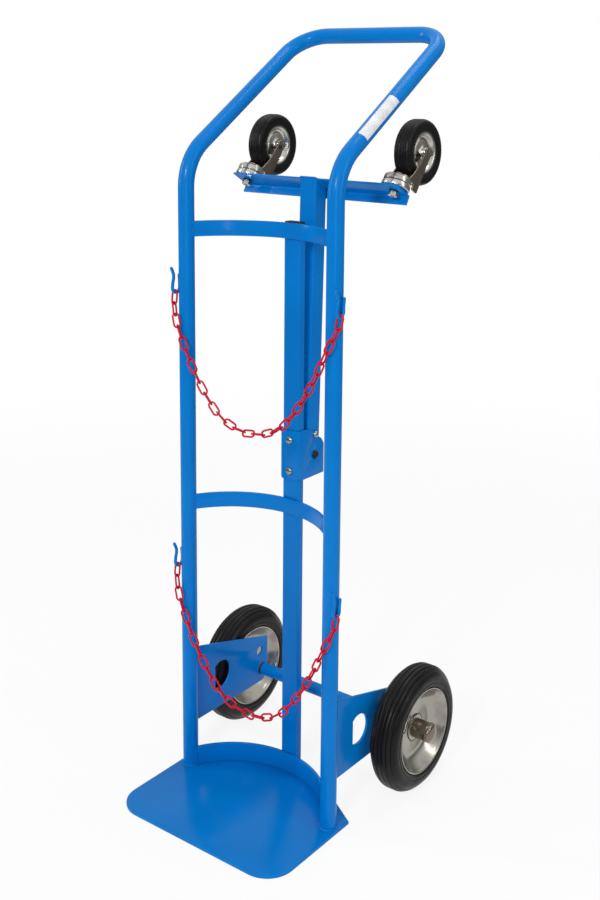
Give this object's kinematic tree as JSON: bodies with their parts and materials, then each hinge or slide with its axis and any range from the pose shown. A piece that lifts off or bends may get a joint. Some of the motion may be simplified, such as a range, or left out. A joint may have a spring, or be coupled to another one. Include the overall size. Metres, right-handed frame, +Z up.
{
  "type": "gas cylinder hand truck",
  "caption": "Upright tube-frame hand truck for a gas cylinder, with a toe plate, curved straps, chains, large wheels and a fold-down rear leg on swivel casters.",
  "frame": {"origin": "on the underside of the toe plate, midway between the axes of the two uprights", "axes": "+Z up along the uprights, +X to the truck's right, -Y to the front where the cylinder stands"},
  "size_m": [0.428, 0.4593, 1.1998],
  "materials": {
    "blue_paint": "glossy blue powder coat",
    "black_rubber": "dull black rubber",
    "zinc_plate": "bright zinc plate, slightly yellow-green",
    "black_plastic": "matt black plastic",
    "black_steel": "black oxide steel",
    "red_chain": "glossy red coating"
  },
  "bodies": {
    "frame": {"main_frame_tube": "blue_paint", "toe_plate": "blue_paint", "toe_upstand": "blue_paint", "middle_cradle_strap": "blue_paint", "upper_cradle_strap": "blue_paint", "centre_post": "blue_paint", "left_wheel_plate": "blue_paint", "right_wheel_plate": "blue_paint", "upper_left_hook": "blue_paint", "upper_right_hook": "blue_paint", "lower_left_hook": "blue_paint", "lower_right_hook": "blue_paint", "leg_bracket": "blue_paint", "post_cap": "black_plastic", "upper_chain": "red_chain", "lower_chain": "red_chain", "wheel_axle": "zinc_plate", "bracket_bolt_lower": "zinc_plate", "bracket_bolt_upper": "zinc_plate", "bracket_nut_lower": "zinc_plate", "bracket_nut_upper": "zinc_plate", "leg_pivot_bolt": "black_steel", "leg_pivot_nut": "black_steel", "left_axle_cap": "zinc_plate", "right_axle_cap": "zinc_plate"},
    "leg": {"leg_tube": "blue_paint", "caster_bar": "blue_paint", "leg_catch_bolt": "zinc_plate", "leg_catch_nut": "zinc_plate", "left_caster_race": "zinc_plate", "left_kingpin": "zinc_plate", "left_kingpin_nut": "zinc_plate", "right_caster_race": "zinc_plate", "right_kingpin": "zinc_plate", "right_kingpin_nut": "zinc_plate"},
    "left_wheel": {"left_tyre": "black_rubber", "left_rim_outer_half": "zinc_plate", "left_rim_inner_half": "zinc_plate", "left_hub": "zinc_plate", "left_roller_cage": "black_plastic", "left_inner_washer": "zinc_plate", "left_outer_washer": "zinc_plate"},
    "left_caster": {"left_fork": "zinc_plate", "left_caster_bolt": "zinc_plate", "left_caster_nut": "zinc_plate"},
    "left_caster_wheel": {"left_caster_tyre": "black_rubber", "left_caster_rim": "zinc_plate"},
    "right_wheel": {"right_tyre": "black_rubber", "right_rim_outer_half": "zinc_plate", "right_rim_inner_half": "zinc_plate", "right_hub": "zinc_plate", "right_roller_cage": "black_plastic", "right_inner_washer": "zinc_plate", "right_outer_washer": "zinc_plate"},
    "right_caster": {"right_fork": "zinc_plate", "right_caster_bolt": "zinc_plate", "right_caster_nut": "zinc_plate"},
    "right_caster_wheel": {"right_caster_tyre": "black_rubber", "right_caster_rim": "zinc_plate"}
  },
  "joints": [
    {"name": "leg_fold", "type": "hinge", "parent": "frame", "child": "leg", "pos_m": [0, 0.122, 0.535], "axis": [-1, 0, 0], "range_deg": [0, 120]},
    {"name": "left_wheel_spin", "type": "hinge", "parent": "frame", "child": "left_wheel", "pos_m": [-0.1746, 0.1805, 0.1], "axis": [1, 0, 0], "continuous": true},
    {"name": "left_caster_swivel", "type": "hinge", "parent": "leg", "child": "left_caster", "pos_m": [-0.14, 0.1474, 0.95981], "axis": [0, 0.5075, 0.8616], "range_deg": [-150, 150]},
    {"name": "left_caster_spin", "type": "hinge", "parent": "left_caster", "child": "left_caster_wheel", "pos_m": [-0.14, 0.2101, 1.01108], "axis": [1, 0, 0], "continuous": true},
    {"name": "right_wheel_spin", "type": "hinge", "parent": "frame", "child": "right_wheel", "pos_m": [0.1746, 0.1805, 0.1], "axis": [1, 0, 0], "continuous": true},
    {"name": "right_caster_swivel", "type": "hinge", "parent": "leg", "child": "right_caster", "pos_m": [0.14, 0.1474, 0.95981], "axis": [0, 0.5075, 0.8616], "range_deg": [-150, 150]},
    {"name": "right_caster_spin", "type": "hinge", "parent": "right_caster", "child": "right_caster_wheel", "pos_m": [0.14, 0.2101, 1.01108], "axis": [1, 0, 0], "continuous": true}
  ]
}
